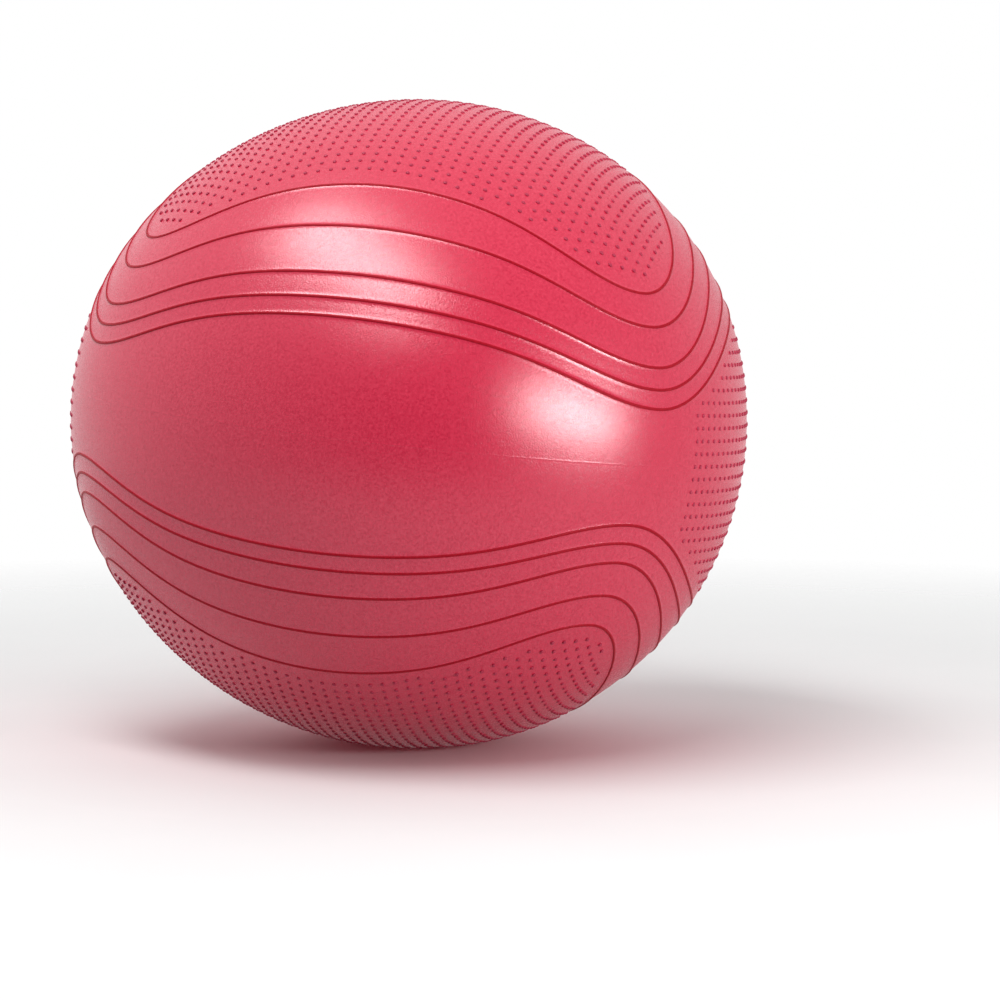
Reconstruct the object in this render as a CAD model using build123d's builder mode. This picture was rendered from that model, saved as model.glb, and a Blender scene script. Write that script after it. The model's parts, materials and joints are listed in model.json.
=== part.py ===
from build123d import *
import math
import os

# Exercise ball: an inflated hollow skin of soft PVC, a valve seat welded into it, and the push-in
# plug that closes the valve.  Millimetres, +Z up.  The origin is the middle of the flat patch that
# the ball rests on.  The plain front of the ball faces -Y, and the valve is at the back.

# Driving dimensions
NOMINAL_DIAMETER = 650.0      # the size the ball is sold as, and the diameter of a round ball of its volume
HEIGHT_TO_WIDTH = 0.959       # an inflated ball on the floor is a little wider than it is high
CONTACT_RADIUS = 40.0         # the patch that carries the ball's own weight
WALL = 0.9                    # skin thickness when inflated

AXIS_LEAN = 6.5               # degrees: the ball's moulding axis leans from +Z towards +X
PANEL_TURN = 13.5             # degrees: the plain front panel is turned from -Y towards -X
VALVE_LATITUDE = 4.5          # degrees above the moulding seam, opposite the plain panel

SEAT_RADIUS = 14.0            # hole in the skin, and the part of the seat that fills it
COLLAR_RADIUS = 18.0          # the seat's weld collar, inside the skin
COLLAR_THICKNESS = 1.2
WELD_GAP = 0.05               # between the collar and the inside of the skin
BOSS_RADIUS = 6.5             # the tube that grips the plug
BOSS_TIP_RADIUS = 5.6
BOSS_DEPTH = 18.0             # from the ball's surface to the inner end of the tube
LIP_RADIUS = 7.5              # raised ring round the mouth
LIP_HEIGHT = 0.6

PLUG_LENGTH = 42.0
HEAD_RADIUS = 4.8
HEAD_THICKNESS = 2.0
HEAD_EDGE = 0.7               # rounding of the head
BARREL_RADIUS = 2.8
BARREL_END_RADIUS = 2.6
BARREL_LENGTH = 12.5
SHOULDER_LENGTH = 5.5         # cone between the barrel and the tip
TIP_RADIUS = 1.65             # where the thin tip starts
TIP_END_RADIUS = 1.25
TIP_ROUNDING = 1.0
PLUG_CLEARANCE = 0.05         # all round, between the plug and its seat
HEAD_RECESS = 1.6             # how far the head sinks below the mouth

# Sizes worked out from them
half_width = NOMINAL_DIAMETER / 2 / HEIGHT_TO_WIDTH ** (1 / 3)
half_height = half_width * HEIGHT_TO_WIDTH
centre_height = half_height * math.sqrt(1 - (CONTACT_RADIUS / half_width) ** 2)
bore_radius = BARREL_RADIUS + PLUG_CLEARANCE
recess_radius = HEAD_RADIUS + PLUG_CLEARANCE
recess_floor = -HEAD_RECESS - PLUG_CLEARANCE


def sagitta(radius):
    """How far the ball's surface falls away at this distance from the valve's axis."""
    return radius ** 2 / NOMINAL_DIAMETER


# The valve's direction from the middle of the ball: set out on an upright ball, then leant over
# with the moulding axis.  Its own axis is the surface's normal where that direction comes out.
upright_valve = Vector(0, 1, 0).rotate(Axis.X, VALVE_LATITUDE).rotate(Axis.Z, -PANEL_TURN)
valve_direction = upright_valve.rotate(Axis.Y, AXIS_LEAN)
reach = 1 / math.sqrt(
    (valve_direction.X ** 2 + valve_direction.Y ** 2) / half_width ** 2
    + valve_direction.Z ** 2 / half_height ** 2
)
ball_centre = Vector(0, 0, centre_height)
valve_mouth = ball_centre + valve_direction * reach
valve_out = Vector(
    valve_direction.X / half_width ** 2,
    valve_direction.Y / half_width ** 2,
    valve_direction.Z / half_height ** 2,
).normalized()
valve_side = valve_out.cross(Vector(0, 0, 1)).normalized()

valve_axis = Axis(valve_mouth, valve_out)
mouth_plane = Plane(origin=valve_mouth, x_dir=valve_side, z_dir=valve_out)
# In this plane x is the distance from the valve's axis and y is the height above the mouth.
valve_section = Plane(origin=valve_mouth, x_dir=valve_side, z_dir=valve_side.cross(valve_out))


def half_ring(inset):
    """Half of the ball's upright section, moved in from the outside by inset.

    The outline is one ellipse, drawn as an arc below the widest level and an arc above it.
    """
    across = half_width - inset
    up = half_height - inset
    lowest = centre_height - inset
    flat = across * math.sqrt(1 - (lowest / up) ** 2)
    bottom_angle = -math.degrees(math.asin(lowest / up))
    Line((0, inset), (flat, inset))
    EllipticalCenterArc((0, centre_height), across, up, bottom_angle, arc_size=-bottom_angle)
    EllipticalCenterArc((0, centre_height), across, up, 0, arc_size=90)


# Ball skin: one hollow piece, round in plan and slightly flattened, flat where it rests
with BuildPart() as ball_shell:
    with BuildSketch(Plane.XZ):
        with BuildLine():
            half_ring(0)
            half_ring(WALL)
            Line((0, 0), (0, WALL))
            Line((0, centre_height + half_height - WALL), (0, centre_height + half_height))
        make_face()
    revolve(axis=Axis.Z)
    with BuildSketch(mouth_plane):
        Circle(SEAT_RADIUS)
    extrude(amount=BOSS_DEPTH, both=True, mode=Mode.SUBTRACT)
ball_shell.part.label = "ball_shell"

# Valve seat: a disc that fills the hole in the skin, with a collar behind it, a raised ring round
# the mouth, a recess for the plug's head and a tube that grips the barrel
with BuildPart() as valve_seat:
    with BuildSketch(valve_section):
        with BuildLine():
            Polyline(
                (bore_radius, recess_floor),
                (recess_radius, recess_floor),
                (recess_radius, LIP_HEIGHT),
                (LIP_RADIUS - LIP_HEIGHT, LIP_HEIGHT),
                (LIP_RADIUS, -sagitta(LIP_RADIUS)),
                (SEAT_RADIUS, -sagitta(SEAT_RADIUS)),
                (SEAT_RADIUS, -sagitta(SEAT_RADIUS) - WALL - WELD_GAP),
                (COLLAR_RADIUS, -sagitta(COLLAR_RADIUS) - WALL - WELD_GAP),
                (COLLAR_RADIUS, -sagitta(COLLAR_RADIUS) - WALL - COLLAR_THICKNESS / 2),
                (SEAT_RADIUS, -sagitta(SEAT_RADIUS) - WALL - COLLAR_THICKNESS),
                (BOSS_RADIUS + COLLAR_THICKNESS, -WALL - 2 * COLLAR_THICKNESS),
                (BOSS_RADIUS, -WALL - 3 * COLLAR_THICKNESS),
                (BOSS_TIP_RADIUS, -BOSS_DEPTH),
                (bore_radius, -BOSS_DEPTH),
                close=True,
            )
        make_face()
    revolve(axis=valve_axis)
valve_seat.part.label = "valve_seat"

# Valve plug: a flat round head, a barrel that seals in the tube, and a long thin tip
head_top = HEAD_THICKNESS - HEAD_RECESS
barrel_end = -HEAD_RECESS - BARREL_LENGTH
shoulder_end = barrel_end - SHOULDER_LENGTH
tip_end = head_top - PLUG_LENGTH
with BuildPart() as valve_plug:
    with BuildSketch(valve_section):
        with BuildLine():
            Polyline(
                (0, head_top),
                (HEAD_RADIUS, head_top),
                (HEAD_RADIUS, -HEAD_RECESS),
                (BARREL_RADIUS, -HEAD_RECESS),
                (BARREL_END_RADIUS, barrel_end),
                (TIP_RADIUS, shoulder_end),
                (TIP_END_RADIUS, tip_end),
                (0, tip_end),
                close=True,
            )
        make_face()
    revolve(axis=valve_axis)
    round_edges = valve_plug.edges().filter_by(GeomType.CIRCLE).sort_by(valve_axis)
    fillet(round_edges[-1], radius=HEAD_EDGE)
    fillet(round_edges[0], radius=TIP_ROUNDING)
valve_plug.part.label = "valve_plug"

os.makedirs("parts", exist_ok=True)
export_step(ball_shell.part, "parts/ball_shell.step")
export_step(valve_seat.part, "parts/valve_seat.step")
export_step(valve_plug.part, "parts/valve_plug.step")

print("width and height", 2 * half_width, centre_height + half_height)
print("valve mouth", valve_mouth, "pointing", valve_out)
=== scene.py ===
import json
import math

import bpy
import numpy as np
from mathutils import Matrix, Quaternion, Vector


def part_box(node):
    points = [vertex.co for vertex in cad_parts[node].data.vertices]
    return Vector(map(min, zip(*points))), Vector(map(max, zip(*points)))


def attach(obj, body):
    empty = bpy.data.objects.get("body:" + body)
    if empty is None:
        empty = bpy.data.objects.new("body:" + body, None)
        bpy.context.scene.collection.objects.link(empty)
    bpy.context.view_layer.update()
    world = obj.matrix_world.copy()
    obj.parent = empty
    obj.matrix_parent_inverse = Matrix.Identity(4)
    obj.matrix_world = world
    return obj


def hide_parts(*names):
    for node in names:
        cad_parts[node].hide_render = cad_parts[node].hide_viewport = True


# Exercise ball: the inflated skin with its ribs and nubs around the CAD valve.  Metres, +Z up.
# The plain front panel faces -Y and the valve is at the back.  Angles are in degrees.
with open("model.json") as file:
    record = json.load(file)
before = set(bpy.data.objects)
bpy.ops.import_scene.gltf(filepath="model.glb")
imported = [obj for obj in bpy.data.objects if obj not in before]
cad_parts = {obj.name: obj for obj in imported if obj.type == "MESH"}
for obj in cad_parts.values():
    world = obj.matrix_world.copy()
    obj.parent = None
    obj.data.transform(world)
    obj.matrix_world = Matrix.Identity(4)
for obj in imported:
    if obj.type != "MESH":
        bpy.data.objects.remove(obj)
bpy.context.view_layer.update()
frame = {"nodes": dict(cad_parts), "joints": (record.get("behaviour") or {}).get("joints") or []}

MM = 0.001

# Ball, as in the CAD
HEIGHT_TO_WIDTH = 0.959
NOMINAL_DIAMETER = 650 * MM
WALL = 0.9 * MM
lowest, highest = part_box("ball_shell")
half_width = max(highest.x, highest.y, -lowest.x, -lowest.y)
half_height = half_width * HEIGHT_TO_WIDTH
half_axes = np.array([half_width, half_width, half_height])
ball_centre = np.array([0, 0, highest.z - half_height])

# Moulded pattern.  Its own axis leans from +Z towards +X.  On it, azimuth 0 faces -Y and grows
# towards +X, and latitude 0 is the moulding seam.
AXIS_LEAN = 6.5
PANEL_AZIMUTH = -13.5         # middle of the plain front panel
LOBE_AZIMUTH = 55.75          # from the panel's middle to the two lobes beside it; a third is behind
# The upper half of the pattern has the key 1 and the lower half -1.
HALF_TURN = {1: 1.25, -1: -2.5}  # how far the ribs of each half are turned from the panel's middle
# Latitude of each rib, counted from the seam to the pole, at three places: the middle of the front
# panel, the lobes, and the middle of a flank
RIBS = {
    1: [
        (20.0, 9.5, 30.5),
        (23.25, 12.75, 34.5),
        (27.75, 16.5, 41.5),
        (37.0, 23.5, 47.25),
        (46.5, 29.5, 58.0),
    ],
    -1: [
        (19.75, 10.25, 30.0),
        (22.75, 13.5, 34.25),
        (27.75, 17.0, 41.0),
        (35.75, 23.25, 48.0),
        (44.75, 29.25, 59.5),
    ],
}
RIB_COUNT = len(RIBS[1])
FRONT_WAVE = (0.19, -0.03)    # how much fuller and how much sharper than a cosine the ribs' wave is
FLANK_WAVE = (0.18, -0.06)
SLANT_STEP = 0.1              # the ribs' slope is taken over this much azimuth to either side
BEAD_WIDTH = 2.8 * MM         # the dark crest of a rib
BEAD_HEIGHT = 0.8 * MM
FOOT_HEIGHT = 0.7 * MM        # the skin rises this much towards a rib
FOOT_WIDTH = 2.2 * MM
SUNK = 0.4 * MM               # ribs and nubs go this far down into the skin
SEAM_WIDTH = 0.6 * MM         # from the seam's crest to where its faint rise is down to about a third
SEAM_HEIGHT = 0.12 * MM
BELL_END = 40                 # the power of e at which a foot or the seam counts as ended

# Shape of the blown-up skin
OUT_OF_ROUND = 2.2 * MM       # three shallow swellings round the outline seen from the front
CREST_ANGLE = 49.0            # one of them, up from +X
CONTACT_EASE = 1.2 * MM       # how softly the skin meets the floor

# Nubs
NUB_RADIUS = 1.9 * MM
NUB_HEIGHT = 1.0 * MM
NUB_SIDES = 12
# Rings of a nub from its foot up: share of its radius, and height above the skin
NUB_PROFILE = [
    (1.0, -SUNK),
    (1.0, 0.1 * NUB_HEIGHT),
    (0.86, 0.6 * NUB_HEIGHT),
    (0.5, 0.92 * NUB_HEIGHT),
]
FLOOR_CLEARANCE = 2 * NUB_HEIGHT  # no nub stands lower than this, where the ball rests
# Square grid over each pole: pitch, turn from the panel's middle, and offsets in pitches
CAP_GRIDS = {1: (2.146, -1.25, 0.33, -0.21), -1: (2.032, -2.0, 0.40, 0.20)}
CAP_REACH = 45                # rows and columns tried on each side of the pole
CAP_MARGIN = 13.0 * MM        # from the innermost rib to the first nubs
FLANK_ROW = 2.18              # from row to row of the flank nubs, which follow latitudes
FLANK_COLUMN = 2.29
HALF_ROWS = 14                # tried on each side of the seam
HALF_COLUMNS = 23             # on each side of a flank's middle
FLANK_CROWDING = 1.3          # the outer columns stand closer together, by this much in all
CROWDED_COLUMNS = 2           # the crowding is down to about a third this many columns further in
FLANK_MARGIN = 12.0 * MM

# Valve, as in the CAD
VALVE_AZIMUTH = PANEL_AZIMUTH + 180
VALVE_LATITUDE = 4.5
SEAT_RADIUS = 14.0 * MM

# Skin round the valve
WELD_LINE = 0.2 * MM          # gap between the skin and the seat
# Rounded edge of the skin at the weld line: distance out from the seat, and depth
HOLE_EDGE = [
    (0.9 * MM, 0.0),
    (0.5 * MM, 0.06 * MM),
    (0.3 * MM, 0.22 * MM),
    (WELD_LINE, 0.5 * MM),
]
VALVE_FLAT = 16.0 * MM        # the skin keeps its plain shape this near, and swells from here
VALVE_FADE = 42.0 * MM        # out to here
VALVE_PATCH = 4.0             # the skin's grid gives way to rings round the valve this near it
PATCH_SHARES = (0.25, 0.5, 0.75)  # where those rings lie, from the grid's edge to the plain part

# Fineness of the skin and the ribs
SKIN_COLUMNS = 480            # round the outside of the skin
LINING_COLUMNS = 240          # and round its inside
# Steps that a cap, a band between two ribs and the band from a rib to the seam are cut into
SKIN_STEPS = (10, 3, 10)
LINING_STEPS = (6, 2, 8)
# Rows near each rib and near the seam: closer together where the skin bends
RIB_ROWS = np.array([5.6, 4.4, 3.2, 2.4, 1.6, 0.0, -1.6, -2.4, -3.2, -4.4, -5.6]) * MM
SEAM_ROWS = (8, 5, 3, 2, 1, 0, -1, -2, -3, -5, -8)  # in seam widths
THINNED_BELOW = 0.5           # columns closer than this share of their spacing at the seam are thinned
MOST_THINNED = 16             # down to one in this many
RIB_STATIONS = 1200           # along a rib
ARCH_POINTS = 9               # over the crest of a rib's section

# Soft PVC, with scales in cells per metre
VINYL_IOR = 1.69
GLOSS_SPREAD = 0.05           # the speckle makes the roughness vary this much to either side
SPECKLE_SCALE = 420.0
PEBBLE_SCALE = 700.0
PEBBLE_DEPTH = 0.3 * MM
GRAIN_SCALE = 1700.0
GRAIN_DEPTH = 0.1 * MM
RELIEF_STRENGTH = 0.7

# Floor and surroundings
FLOOR_RADIUS = 2.0
FLOOR_SIDES = 96
FLOOR_FADE = (0.5, 1.9)       # the floor turns clear between these distances from its middle
FLOOR_TONES = ((0.88, 0.88, 0.88), (0.90, 0.90, 0.90))
FLOOR_BOUNCE = (0.65, 0.65, 0.65)  # its colour to all but the camera
FLOOR_GLOW = 0.25             # share of the world's light from below that comes up through the floor
BRIGHT_SIDE = (-0.31, 0.95, 0.08)  # direction in which the surroundings are brightest
WORLD_LIGHT = (0.14, 0.99)    # their strength on the dim side and on the bright side

# Camera and view
CAMERA_DISTANCE = 12 * half_width
CAMERA_ELEVATION = 3.7
CAMERA_LENS = 145.4
SENSOR_WIDTH = 36.0
CAMERA_YAW = -1.26            # the ball stands left of the middle of the frame, and above it
CAMERA_PITCH = -1.09
CLIP_END = 100.0
VIEW_GAMMA = 0.85             # a little more contrast than the plain view


def pattern_direction(azimuth, latitude):
    """Unit vectors from angles on the upright pattern."""
    azimuth, latitude = np.broadcast_arrays(np.radians(azimuth), np.radians(latitude))
    level = np.cos(latitude)
    return np.stack([level * np.sin(azimuth), -level * np.cos(azimuth), np.sin(latitude)], axis=-1)


def leaned(vectors, angle=AXIS_LEAN):
    """Vectors turned with the pattern's axis, from +Z towards +X."""
    c, s = math.cos(math.radians(angle)), math.sin(math.radians(angle))
    x, y, z = vectors[..., 0], vectors[..., 1], vectors[..., 2]
    return np.stack([c * x + s * z, y, c * z - s * x], axis=-1)


def unit(vectors):
    """The same vectors at length 1."""
    return vectors / np.linalg.norm(vectors, axis=-1, keepdims=True)


def smooth_step(value, start, end):
    """From 0 at start to 1 at end, level at both."""
    t = np.clip((value - start) / (end - start), 0, 1)
    return t * t * (3 - 2 * t)


def bell(distance):
    """A rounded rise, 1 at no distance and about a third at 1."""
    return np.exp(-np.minimum(distance * distance, BELL_END))


# Valve mouth: where its direction leaves the plain ellipsoid, and the surface's own axes there
valve_direction = leaned(pattern_direction(VALVE_AZIMUTH, VALVE_LATITUDE))
valve_mouth = ball_centre + valve_direction / np.linalg.norm(valve_direction / half_axes)
valve_out = np.array(frame["joints"][0]["axis"], float)
valve_side = unit(np.cross(valve_out, [0, 0, 1]))
valve_up = np.cross(valve_side, valve_out)


def wave(t, shape):
    """From 1 at t = 0, in the middle of a panel, to 0 at t = 1, on a lobe."""
    fuller, sharper = shape
    return (
        (1 + np.cos(np.pi * t)) / 2
        + fuller * (1 - np.cos(2 * np.pi * t)) / 2
        + sharper * (np.cos(np.pi * t) - np.cos(3 * np.pi * t)) / 2
    )


def rib_latitude(rib, azimuth, side):
    """Latitude of one rib of the upper half (side 1) or the lower (side -1)."""
    front, lobe, flank = RIBS[side][rib]
    turn = np.abs((azimuth - PANEL_AZIMUTH - HALF_TURN[side] + 180) % 360 - 180)
    flank_width = (180 - LOBE_AZIMUTH) / 2
    front_height = lobe + (front - lobe) * wave(turn / LOBE_AZIMUTH, FRONT_WAVE)
    from_middle = np.abs(turn - LOBE_AZIMUTH - flank_width) / flank_width
    flank_height = lobe + (flank - lobe) * wave(from_middle, FLANK_WAVE)
    return side * np.where(turn <= LOBE_AZIMUTH, front_height, flank_height)


def rib_slant(rib, azimuth, side):
    """Cosine of the angle between a rib and its line of latitude."""
    ahead = rib_latitude(rib, azimuth + SLANT_STEP, side)
    behind = rib_latitude(rib, azimuth - SLANT_STEP, side)
    rise = ahead - behind
    level = 2 * SLANT_STEP * np.cos(np.radians(rib_latitude(rib, azimuth, side)))
    return level / np.hypot(level, rise)


def above_rib(rib, azimuth, latitude, side):
    """Distance over the surface from a rib, positive on its pole's side."""
    angle = side * (latitude - rib_latitude(rib, azimuth, side))
    return half_width * np.radians(angle) * rib_slant(rib, azimuth, side)


def moulded_rise(azimuth, latitude):
    """How far the skin rises at the seam and towards the ribs, each of which has a rounded foot."""
    rise = SEAM_HEIGHT * bell(half_width * np.radians(latitude) / SEAM_WIDTH)
    for side in (1, -1):
        for rib in range(RIB_COUNT):
            rise = rise + FOOT_HEIGHT * bell(above_rib(rib, azimuth, latitude, side) / FOOT_WIDTH)
    return rise


def out_of_round(direction):
    """How far the skin stands out from the plain ellipsoid, or in from it where this is negative."""
    across = direction[..., 0] + 1j * direction[..., 2]
    return OUT_OF_ROUND * ((across * np.exp(-1j * math.radians(CREST_ANGLE))) ** 3).real


def settled(points):
    """The same points with none below the floor: the skin eases into its flat patch."""
    z = points[..., 2]
    points[..., 2] = (z + np.sqrt(z * z + CONTACT_EASE ** 2)) / 2
    return points


def skin_surface(azimuth, latitude, height=0.0, moulded=True):
    """Points on the outside of the skin, raised by height, and the plain ellipsoid's normals.

    The feet of the ribs and the seam are left out when moulded is false.
    """
    azimuth, latitude = np.broadcast_arrays(azimuth, latitude)
    direction = leaned(pattern_direction(azimuth, latitude))
    normals = unit(direction / half_axes)
    plain = ball_centre + direction * half_axes
    lift = out_of_round(direction)
    if moulded:
        lift = lift + moulded_rise(azimuth, latitude)
    lift = lift * smooth_step(np.linalg.norm(plain - valve_mouth, axis=-1), VALVE_FLAT, VALVE_FADE)
    return settled(plain + normals * lift[..., None]) + normals * height, normals


def pattern_angles(points):
    """The pattern's azimuth and latitude where points lie."""
    direction = leaned(unit((points - ball_centre) / half_axes), -AXIS_LEAN)
    azimuth = np.degrees(np.arctan2(direction[..., 0], -direction[..., 1]))
    return azimuth, np.degrees(np.arcsin(direction[..., 2]))


class Surface:
    """A mesh collected ring by ring."""

    def __init__(self):
        self.points = []
        self.faces = []
        self.size = 0

    def ring(self, points):
        """Adds points and gives their numbers."""
        self.points.append(points)
        self.size += len(points)
        return np.arange(self.size - len(points), self.size)

    def bridge(self, upper, lower, inward=False, skip=range(0)):
        """Faces between two closed rings that start side by side: quads, or where one ring has
        more points than the other, triangles.  skip leaves out quads."""
        made = []
        m, n = len(upper), len(lower)
        if m == n:
            for k in range(n):
                after = (k + 1) % n
                if k not in skip:
                    made.append((upper[k], lower[k], lower[after], upper[after]))
        else:
            i = j = 0
            while i < m or j < n:
                if (i + 1) * n <= (j + 1) * m:
                    made.append((upper[i % m], lower[j % n], upper[(i + 1) % m]))
                    i += 1
                else:
                    made.append((upper[i % m], lower[j % n], lower[(j + 1) % n]))
                    j += 1
        self.faces += [face[::-1] for face in made] if inward else made

    def fan(self, ring, tip, inward=False):
        """Triangles from a ring to the one point above it."""
        n = len(ring)
        made = [(tip, ring[k], ring[(k + 1) % n]) for k in range(n)]
        self.faces += [face[::-1] for face in made] if inward else made

    def build(self, name, material):
        """The mesh as an object, without points that no face uses."""
        points = np.concatenate(self.points)
        used = np.zeros(len(points), bool)
        for face in self.faces:
            used[list(face)] = True
        number = np.cumsum(used) - 1
        faces = [[int(number[k]) for k in face] for face in self.faces]
        return mesh_object(name, points[used], faces, material)


def mesh_object(name, points, faces, material):
    """A smooth mesh as an object in the scene."""
    mesh = bpy.data.meshes.new(name)
    mesh.from_pydata(np.asarray(points).tolist(), [], faces)
    mesh.polygons.foreach_set("use_smooth", [True] * len(mesh.polygons))
    mesh.materials.append(material)
    obj = bpy.data.objects.new(name, mesh)
    bpy.context.collection.objects.link(obj)
    return obj


def skin_rows(azimuth, rib_offsets, cap_steps, band_steps, middle_steps, seam):
    """Latitudes of the skin's rows from the top, each an array with one value for a column.

    Every rib has rows at these distances from its crest.  The bands between them, the caps inside
    the innermost ribs and the middle of the ball are then cut into even steps.
    """
    halves = {}
    for side in (1, -1):
        rows = []
        last = np.full(len(azimuth), side * 90.0)
        steps = [cap_steps] + [band_steps] * (RIB_COUNT - 1)
        for rib, count in zip(reversed(range(RIB_COUNT)), steps):
            spread = side * np.degrees(1 / half_width) / rib_slant(rib, azimuth, side)
            crest = rib_latitude(rib, azimuth, side)
            block = [crest + distance * spread for distance in rib_offsets]
            rows += between(last, block[0], count) + block
            last = block[-1]
        halves[side] = rows + between(last, np.full(len(azimuth), side * seam[0]), middle_steps)
    middle = [np.full(len(azimuth), latitude) for latitude in seam]
    return [*halves[1], *middle, *halves[-1][::-1]]


def between(first, last, steps):
    """The rows that cut the space between two others into even steps."""
    return [first + (last - first) * k / steps for k in range(1, steps)]


def thinned(row, latitudes):
    """A row's columns, or every second, fourth, eighth or sixteenth of them near a pole."""
    spacing = math.cos(math.radians(abs(float(np.mean(latitudes)))))
    step = 1
    while spacing * step < THINNED_BELOW and len(row) % (step * 2) == 0 and step < MOST_THINNED:
        step *= 2
    return row[::step]


def valve_circle(radius, drop, angle):
    """Points at these angles round the valve's axis, on the plain surface or this far below it."""
    level = -radius ** 2 / NOMINAL_DIAMETER - drop
    return (
        valve_mouth
        + radius * np.cos(angle)[:, None] * valve_side
        + radius * np.sin(angle)[:, None] * valve_up
        + level * valve_out
    )


def add_wall(surface, azimuth, rows, height, inward, edge):
    """One wall of the skin, with a round hole at the valve.  Returns the ring at the hole's edge.

    edge gives the last rings, as their radius and their depth below the plain surface.
    """
    columns = len(azimuth)
    near_valve = np.abs((azimuth - VALVE_AZIMUTH + 180) % 360 - 180) < VALVE_PATCH
    first, last = np.flatnonzero(near_valve)[[0, -1]]
    patch = [k for k, row in enumerate(rows) if abs(row[first] - VALVE_LATITUDE) < VALVE_PATCH]
    top, bottom = patch[0], patch[-1]
    moulded = height >= 0
    rings = []
    for row in rows:
        kept = thinned(np.arange(columns), row)
        points, _ = skin_surface(azimuth[kept], row[kept], height, moulded)
        rings.append(surface.ring(points))
    for k in range(len(rings) - 1):
        hole = range(first, last) if top <= k < bottom else range(0)
        surface.bridge(rings[k], rings[k + 1], inward, hole)
    for pole, ring in ((90.0, rings[0]), (-90.0, rings[-1][::-1])):
        points, _ = skin_surface(np.array([0.0]), np.array([pole]), height, moulded)
        surface.fan(ring, surface.ring(points)[0], inward)
    # The loop round the missing faces, clockwise from its top left corner, then in to the hole
    loop = np.concatenate([
        rings[top][first:last],
        [rings[k][last] for k in range(top, bottom)],
        rings[bottom][last:first:-1],
        [rings[k][first] for k in range(bottom, top, -1)],
    ])
    outline = np.concatenate(surface.points)[loop]
    arms = outline - valve_mouth
    angle = np.arctan2(arms @ valve_up, arms @ valve_side)
    circle = valve_circle(VALVE_FLAT, 0.0, angle)
    for share in PATCH_SHARES:
        angles = pattern_angles(outline + share * (circle - outline))
        inner = surface.ring(skin_surface(*angles, height, moulded)[0])
        surface.bridge(loop, inner, inward)
        loop = inner
    for radius, drop in edge:
        inner = surface.ring(valve_circle(radius, drop, angle))
        surface.bridge(loop, inner, inward)
        loop = inner
    return loop


def make_skin(material):
    """The ball's skin: a thin closed wall with its outside, its inside and the valve's hole."""
    surface = Surface()
    seam_step = math.degrees(SEAM_WIDTH / half_width)
    seam = [seam_step * k for k in SEAM_ROWS]
    azimuth = np.arange(SKIN_COLUMNS) * 360 / SKIN_COLUMNS
    rows = skin_rows(azimuth, RIB_ROWS, *SKIN_STEPS, seam)
    edge = [(VALVE_FLAT, 0.0)] + [(SEAT_RADIUS + out, depth) for out, depth in HOLE_EDGE]
    outer = add_wall(surface, azimuth, rows, 0.0, False, edge)
    azimuth = np.arange(LINING_COLUMNS) * 360 / LINING_COLUMNS
    rows = skin_rows(azimuth, [0.0], *LINING_STEPS, [0.0])
    edge = [(VALVE_FLAT, WALL), (SEAT_RADIUS + WELD_LINE, WALL)]
    inner = add_wall(surface, azimuth, rows, -WALL, True, edge)
    surface.bridge(outer, inner)
    return surface.build("ball_skin", material)


def make_ribs(name, side, material):
    """The five ribs of one half, each a closed rounded bead sunk a little into the skin."""
    azimuth = np.arange(RIB_STATIONS) * 360 / RIB_STATIONS
    arch = np.radians(np.linspace(0, 180, ARCH_POINTS))
    across = BEAD_WIDTH / 2 * np.append(np.cos(arch), [-1, 1])
    # The bead's edge meets the foot, which has already fallen a little from its crest there.
    base = FOOT_HEIGHT * (bell(BEAD_WIDTH / 2 / FOOT_WIDTH) - 1)
    height = base + np.append(BEAD_HEIGHT * np.sin(arch), [-SUNK, -SUNK])
    surface = Surface()
    for rib in range(RIB_COUNT):
        points, normals = skin_surface(azimuth, rib_latitude(rib, azimuth, side))
        along = unit(np.roll(points, -1, axis=0) - np.roll(points, 1, axis=0))
        sideways = np.cross(normals, along)
        rings = [
            surface.ring(points + x * sideways + y * normals) for x, y in zip(across, height)
        ]
        for k, ring in enumerate(rings):
            surface.bridge(ring, rings[(k + 1) % len(rings)])
    return surface.build(name, material)


def cap_nubs(side):
    """Azimuths and latitudes of the square grid of nubs over one pole."""
    pitch, grid_turn, row_offset, column_offset = CAP_GRIDS[side]
    steps = np.arange(-CAP_REACH, CAP_REACH + 1)
    row, column = np.meshgrid(steps + row_offset, steps + column_offset)
    ahead = np.sin(np.radians(row * pitch)).ravel()
    beside = np.sin(np.radians(column * pitch)).ravel()
    level = np.hypot(ahead, beside)
    ahead, beside, level = ahead[level < 1], beside[level < 1], level[level < 1]
    azimuth = PANEL_AZIMUTH + grid_turn + np.degrees(np.arctan2(beside, ahead))
    latitude = side * np.degrees(np.arccos(level))
    kept = above_rib(RIB_COUNT - 1, azimuth, latitude, side) > CAP_MARGIN
    return azimuth[kept], latitude[kept]


def flank_nubs(middle):
    """Azimuths and latitudes of the nubs between the two lowest ribs, round one side."""
    k = np.arange(HALF_COLUMNS)
    out = (k + 0.5) * FLANK_COLUMN - FLANK_CROWDING * np.exp((k - k[-1]) / CROWDED_COLUMNS)
    columns = middle + np.concatenate([-out[::-1], out])
    rows = FLANK_ROW * np.arange(-HALF_ROWS, HALF_ROWS + 1)
    azimuth, latitude = (grid.ravel() for grid in np.meshgrid(columns, rows))
    below_upper = -above_rib(0, azimuth, latitude, 1)
    above_lower = -above_rib(0, azimuth, latitude, -1)
    kept = np.minimum(below_upper, above_lower) > FLANK_MARGIN
    return azimuth[kept], latitude[kept]


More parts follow.
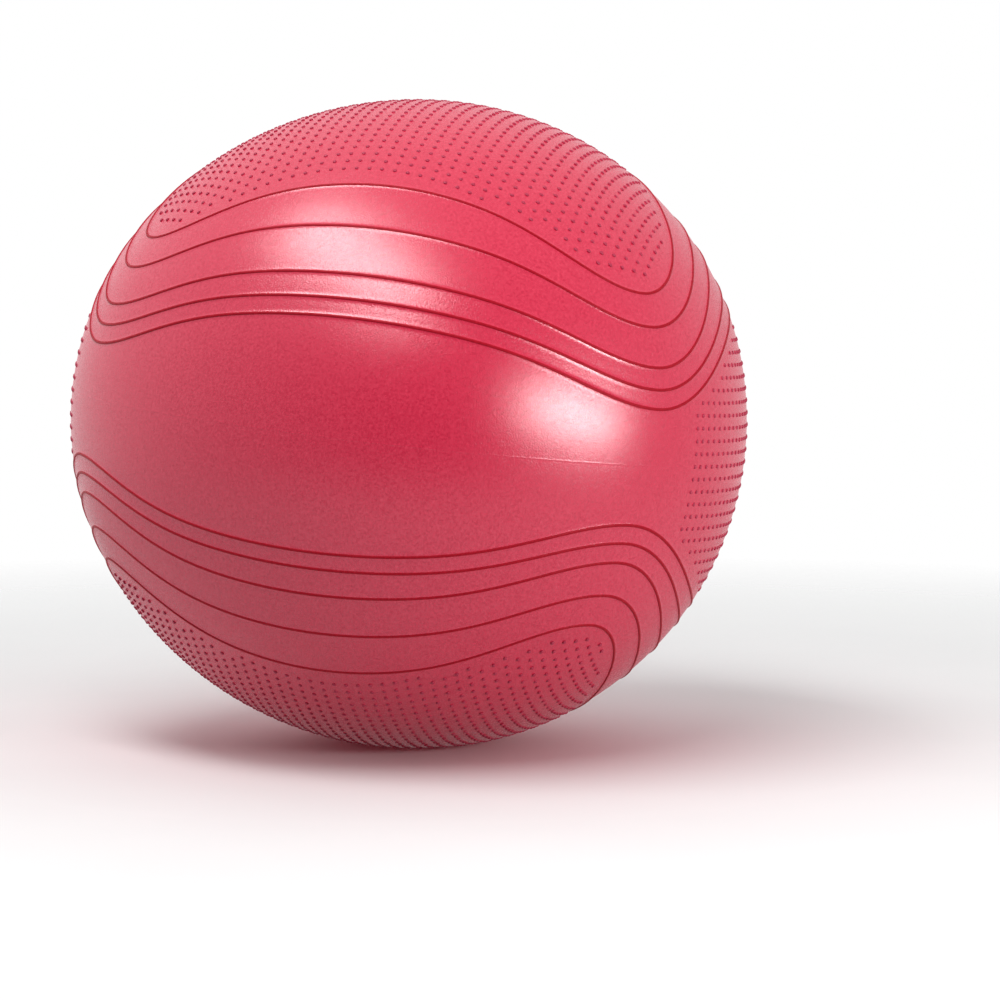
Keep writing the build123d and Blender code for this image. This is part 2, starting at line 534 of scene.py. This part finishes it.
def make_nubs(name, angles, material):
    """A closed rounded dome at each place, sunk a little into the skin."""
    points, normals = skin_surface(*angles)
    clear = points[:, 2] > FLOOR_CLEARANCE
    points, normals = points[clear], normals[clear]
    # Any direction will do for sideways, but none of the normals may lie along this one.
    sideways = unit(np.cross(normals, [0.0, 1.0, 0.001]))
    upwards = np.cross(normals, sideways)
    turn = np.arange(NUB_SIDES) * 2 * np.pi / NUB_SIDES
    # Each nub's corners: the middle of its foot, its rings and its top
    dome = [-SUNK * normals + points]
    for share, height in NUB_PROFILE:
        for angle in turn:
            offset = math.cos(angle) * sideways + math.sin(angle) * upwards
            dome.append(points + share * NUB_RADIUS * offset + height * normals)
    dome.append(points + NUB_HEIGHT * normals)
    corners = np.stack(dome, axis=1)
    faces = []
    last = 1 + len(NUB_PROFILE) * NUB_SIDES
    for k in range(NUB_SIDES):
        after = (k + 1) % NUB_SIDES
        faces.append((0, 1 + after, 1 + k))
        for level in range(len(NUB_PROFILE) - 1):
            low, high = 1 + level * NUB_SIDES, 1 + (level + 1) * NUB_SIDES
            faces.append((low + k, low + after, high + after, high + k))
        faces.append((last - NUB_SIDES + k, last - NUB_SIDES + after, last))
    size = last + 1
    every = [[base + k for k in face] for base in range(0, len(points) * size, size) for face in faces]
    return mesh_object(name, corners.reshape(-1, 3), every, material)


# Materials


def socket(node, name, value):
    """Sets a value straight on one of a node's inputs."""
    node.inputs[name].default_value = value


def new_material(name):
    """A material with one shader, and the object's own coordinates to place its patterns."""
    material = bpy.data.materials.new(name)
    material.use_nodes = True
    tree = material.node_tree
    tree.nodes.clear()
    output = tree.nodes.new("ShaderNodeOutputMaterial")
    shader = tree.nodes.new("ShaderNodeBsdfPrincipled")
    tree.links.new(shader.outputs["BSDF"], output.inputs["Surface"])
    place = tree.nodes.new("ShaderNodeTexCoord")
    return material, tree, shader, place.outputs["Object"]


def noise(tree, place, scale, detail=2.0):
    """A cloudy value about 0.5."""
    node = tree.nodes.new("ShaderNodeTexNoise")
    socket(node, "Scale", scale)
    socket(node, "Detail", detail)
    socket(node, "Roughness", 0.5)
    tree.links.new(place, node.inputs["Vector"])
    return node.outputs["Fac"]


def mapped(tree, value, low, high, to_low, to_high):
    """A value moved from the range low to high into the range to_low to to_high."""
    node = tree.nodes.new("ShaderNodeMapRange")
    for name, number in (("From Min", low), ("From Max", high), ("To Min", to_low), ("To Max", to_high)):
        socket(node, name, number)
    tree.links.new(value, node.inputs["Value"])
    return node.outputs["Result"]


def blended(tree, factor, first, second):
    """Colour from first to second, each a colour or another node's output."""
    node = tree.nodes.new("ShaderNodeMix")
    node.data_type = "RGBA"
    tree.links.new(factor, node.inputs["Factor"])
    for name, colour in (("A", first), ("B", second)):
        target = next(s for s in node.inputs if s.name == name and s.type == "RGBA")
        if isinstance(colour, tuple):
            target.default_value = (*colour, 1.0)
        else:
            tree.links.new(colour, target)
    return next(s for s in node.outputs if s.type == "RGBA")


def bumped(tree, height, distance, strength, under=None):
    """Normals for a fine relief, laid over those of another relief if under is given."""
    node = tree.nodes.new("ShaderNodeBump")
    socket(node, "Distance", distance)
    socket(node, "Strength", strength)
    tree.links.new(height, node.inputs["Height"])
    if under is not None:
        tree.links.new(under, node.inputs["Normal"])
    return node.outputs["Normal"]


def soft_vinyl(name, deep, pale, roughness, specular):
    """Satin PVC with a fine pebbled grain and a pearly speckle from the deep colour to the pale."""
    material, tree, shader, place = new_material(name)
    speckle = mapped(tree, noise(tree, place, SPECKLE_SCALE), 0.25, 0.75, 0.0, 1.0)
    tree.links.new(blended(tree, speckle, deep, pale), shader.inputs["Base Color"])
    gloss = mapped(tree, speckle, 0.0, 1.0, roughness + GLOSS_SPREAD, roughness - GLOSS_SPREAD)
    tree.links.new(gloss, shader.inputs["Roughness"])
    pebble = noise(tree, place, PEBBLE_SCALE)
    pebbles = bumped(tree, pebble, PEBBLE_DEPTH, RELIEF_STRENGTH)
    grain = noise(tree, place, GRAIN_SCALE, detail=1.0)
    relief = bumped(tree, grain, GRAIN_DEPTH, RELIEF_STRENGTH, pebbles)
    tree.links.new(relief, shader.inputs["Normal"])
    socket(shader, "IOR", VINYL_IOR)
    socket(shader, "Specular IOR Level", specular)
    return material


def waxy_plastic(name):
    """Milky polyethylene: faintly translucent, with fine turning marks and a slight cloudiness."""
    material, tree, shader, place = new_material(name)
    cloud = mapped(tree, noise(tree, place, scale=160.0, detail=3.0), 0.3, 0.7, 0.0, 1.0)
    milk = blended(tree, cloud, (0.80, 0.80, 0.77), (0.88, 0.88, 0.86))
    tree.links.new(milk, shader.inputs["Base Color"])
    gloss = mapped(tree, cloud, 0.0, 1.0, 0.38, 0.48)
    tree.links.new(gloss, shader.inputs["Roughness"])
    marks = bumped(tree, noise(tree, place, scale=1500.0), distance=0.05 * MM, strength=0.5)
    tree.links.new(marks, shader.inputs["Normal"])
    socket(shader, "Subsurface Weight", 0.25)
    socket(shader, "Subsurface Radius", (2 * MM, 2 * MM, 2 * MM))
    socket(shader, "Subsurface Scale", 1.0)
    return material


skin_vinyl = soft_vinyl(
    "skin_vinyl", deep=(0.655, 0.0, 0.058), pale=(0.84, 0.054, 0.126), roughness=0.26, specular=0.9
)
rib_vinyl = soft_vinyl(
    "rib_vinyl", deep=(0.42, 0.0, 0.018), pale=(0.50, 0.008, 0.030), roughness=0.45, specular=0.15
)
nub_vinyl = soft_vinyl(
    "nub_vinyl", deep=(0.46, 0.020, 0.075), pale=(0.56, 0.045, 0.110), roughness=0.45, specular=0.4
)
seat_vinyl = soft_vinyl(
    "seat_vinyl", deep=(0.56, 0.0, 0.045), pale=(0.72, 0.045, 0.100), roughness=0.34, specular=0.9
)
plug_plastic = waxy_plastic("plug_plastic")

# Ball: the skin, its ribs and its nubs stand in for the CAD's plain shell
skin = make_skin(skin_vinyl)
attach(skin, "ball")
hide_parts("ball_shell")

details = [
    make_ribs("ribs_upper", 1, rib_vinyl),
    make_ribs("ribs_lower", -1, rib_vinyl),
    make_nubs("nubs_top", cap_nubs(1), nub_vinyl),
    make_nubs("nubs_bottom", cap_nubs(-1), nub_vinyl),
]
flank_middle = (180 + LOBE_AZIMUTH) / 2
for name, turn in (("nubs_right", flank_middle), ("nubs_left", -flank_middle)):
    details.append(make_nubs(name, flank_nubs(PANEL_AZIMUTH + turn), nub_vinyl))
for detail in details:
    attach(detail, "ball")
    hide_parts("ball_shell")

# Valve: the CAD's own seat and plug
for node, material in (("valve_seat", seat_vinyl), ("valve_plug", plug_plastic)):
    for place in frame["nodes"][node].material_slots:
        place.link = "OBJECT"
        place.material = material


# Floor, light and camera


def make_floor():
    """A big pale disc that fades into the white behind it."""
    bpy.ops.mesh.primitive_circle_add(vertices=FLOOR_SIDES, radius=FLOOR_RADIUS, fill_type="NGON")
    floor = bpy.context.object
    floor.name = "floor"
    material, tree, shader, place = new_material("floor_paper")
    tone = mapped(tree, noise(tree, place, scale=3.0), 0.3, 0.7, 0.0, 1.0)
    paper = blended(tree, tone, *FLOOR_TONES)
    seen = tree.nodes.new("ShaderNodeLightPath").outputs["Is Camera Ray"]
    tree.links.new(blended(tree, seen, FLOOR_BOUNCE, paper), shader.inputs["Base Color"])
    socket(shader, "Roughness", 0.8)
    clear = tree.nodes.new("ShaderNodeBsdfTransparent")
    out = tree.nodes.new("ShaderNodeVectorMath")
    out.operation = "LENGTH"
    tree.links.new(place, out.inputs[0])
    share = tree.nodes.new("ShaderNodeMath")
    share.operation = "MAXIMUM"
    tree.links.new(mapped(tree, out.outputs["Value"], *FLOOR_FADE, 0.0, 1.0), share.inputs[0])
    tree.links.new(mapped(tree, seen, 0.0, 1.0, FLOOR_GLOW, 0.0), share.inputs[1])
    mix = tree.nodes.new("ShaderNodeMixShader")
    tree.links.new(share.outputs["Value"], mix.inputs["Fac"])
    tree.links.new(shader.outputs["BSDF"], mix.inputs[1])
    tree.links.new(clear.outputs["BSDF"], mix.inputs[2])
    tree.links.new(mix.outputs["Shader"], tree.nodes["Material Output"].inputs["Surface"])
    floor.data.materials.append(material)


def make_light(name, azimuth, elevation, distance, size, roll, power):
    """A soft oblong light whose glint the camera sees where the ball's surface faces this way."""
    normal = Vector(pattern_direction(azimuth, elevation))
    place = Vector(ball_centre + half_axes ** 2 * normal / np.linalg.norm(half_axes * normal))
    view = (bpy.context.scene.camera.location - place).normalized()
    towards = 2 * normal.dot(view) * normal - view
    data = bpy.data.lights.new(name, "AREA")
    data.shape = "RECTANGLE"
    data.size, data.size_y = size
    data.energy = power
    light = bpy.data.objects.new(name, data)
    light.location = place + towards * distance
    light.rotation_mode = "QUATERNION"
    turn = Quaternion((0, 0, 1), math.radians(roll))
    light.rotation_quaternion = towards.to_track_quat("Z", "Y") @ turn
    bpy.context.collection.objects.link(light)


def make_world():
    """White all round to the camera.  As a light it is brightest behind the ball and a little to
    the left, and dim in front."""
    world = bpy.data.worlds.new("studio")
    world.use_nodes = True
    tree = world.node_tree
    background = tree.nodes["Background"]
    place = tree.nodes.new("ShaderNodeTexCoord")
    along = tree.nodes.new("ShaderNodeVectorMath")
    along.operation = "DOT_PRODUCT"
    tree.links.new(place.outputs["Generated"], along.inputs[0])
    along.inputs[1].default_value = BRIGHT_SIDE
    glow = mapped(tree, along.outputs["Value"], -1.0, 1.0, *WORLD_LIGHT)
    seen = tree.nodes.new("ShaderNodeLightPath")
    strength = tree.nodes.new("ShaderNodeMix")
    tree.links.new(seen.outputs["Is Camera Ray"], strength.inputs["Factor"])
    tree.links.new(glow, strength.inputs["A"])
    socket(strength, "B", 1.0)
    tree.links.new(strength.outputs["Result"], background.inputs["Strength"])
    socket(background, "Color", (1.0, 1.0, 1.0, 1.0))
    bpy.context.scene.world = world


def make_camera():
    """The camera, a little above the ball's middle and aimed to the right of it and below it."""
    data = bpy.data.cameras.new("camera")
    data.lens = CAMERA_LENS
    data.sensor_width = SENSOR_WIDTH
    data.clip_end = CLIP_END
    camera = bpy.data.objects.new("camera", data)
    up = math.radians(CAMERA_ELEVATION)
    away = Vector((0.0, -math.cos(up), math.sin(up)))
    camera.location = Vector(ball_centre) + away * CAMERA_DISTANCE
    tilt = math.radians(90 - CAMERA_ELEVATION + CAMERA_PITCH)
    camera.rotation_euler = (tilt, 0.0, math.radians(CAMERA_YAW))
    bpy.context.collection.objects.link(camera)
    bpy.context.scene.camera = camera


make_camera()
make_floor()
make_world()
make_light(
    "key_right", azimuth=26.6, elevation=5.2, distance=2.2, size=(1.42, 0.46), roll=-20, power=27.5
)
make_light(
    "top_left", azimuth=-9.8, elevation=32.9, distance=2.2, size=(2.5, 0.75), roll=-26, power=38
)
bpy.context.scene.view_settings.view_transform = "Standard"
bpy.context.scene.view_settings.gamma = VIEW_GAMMA
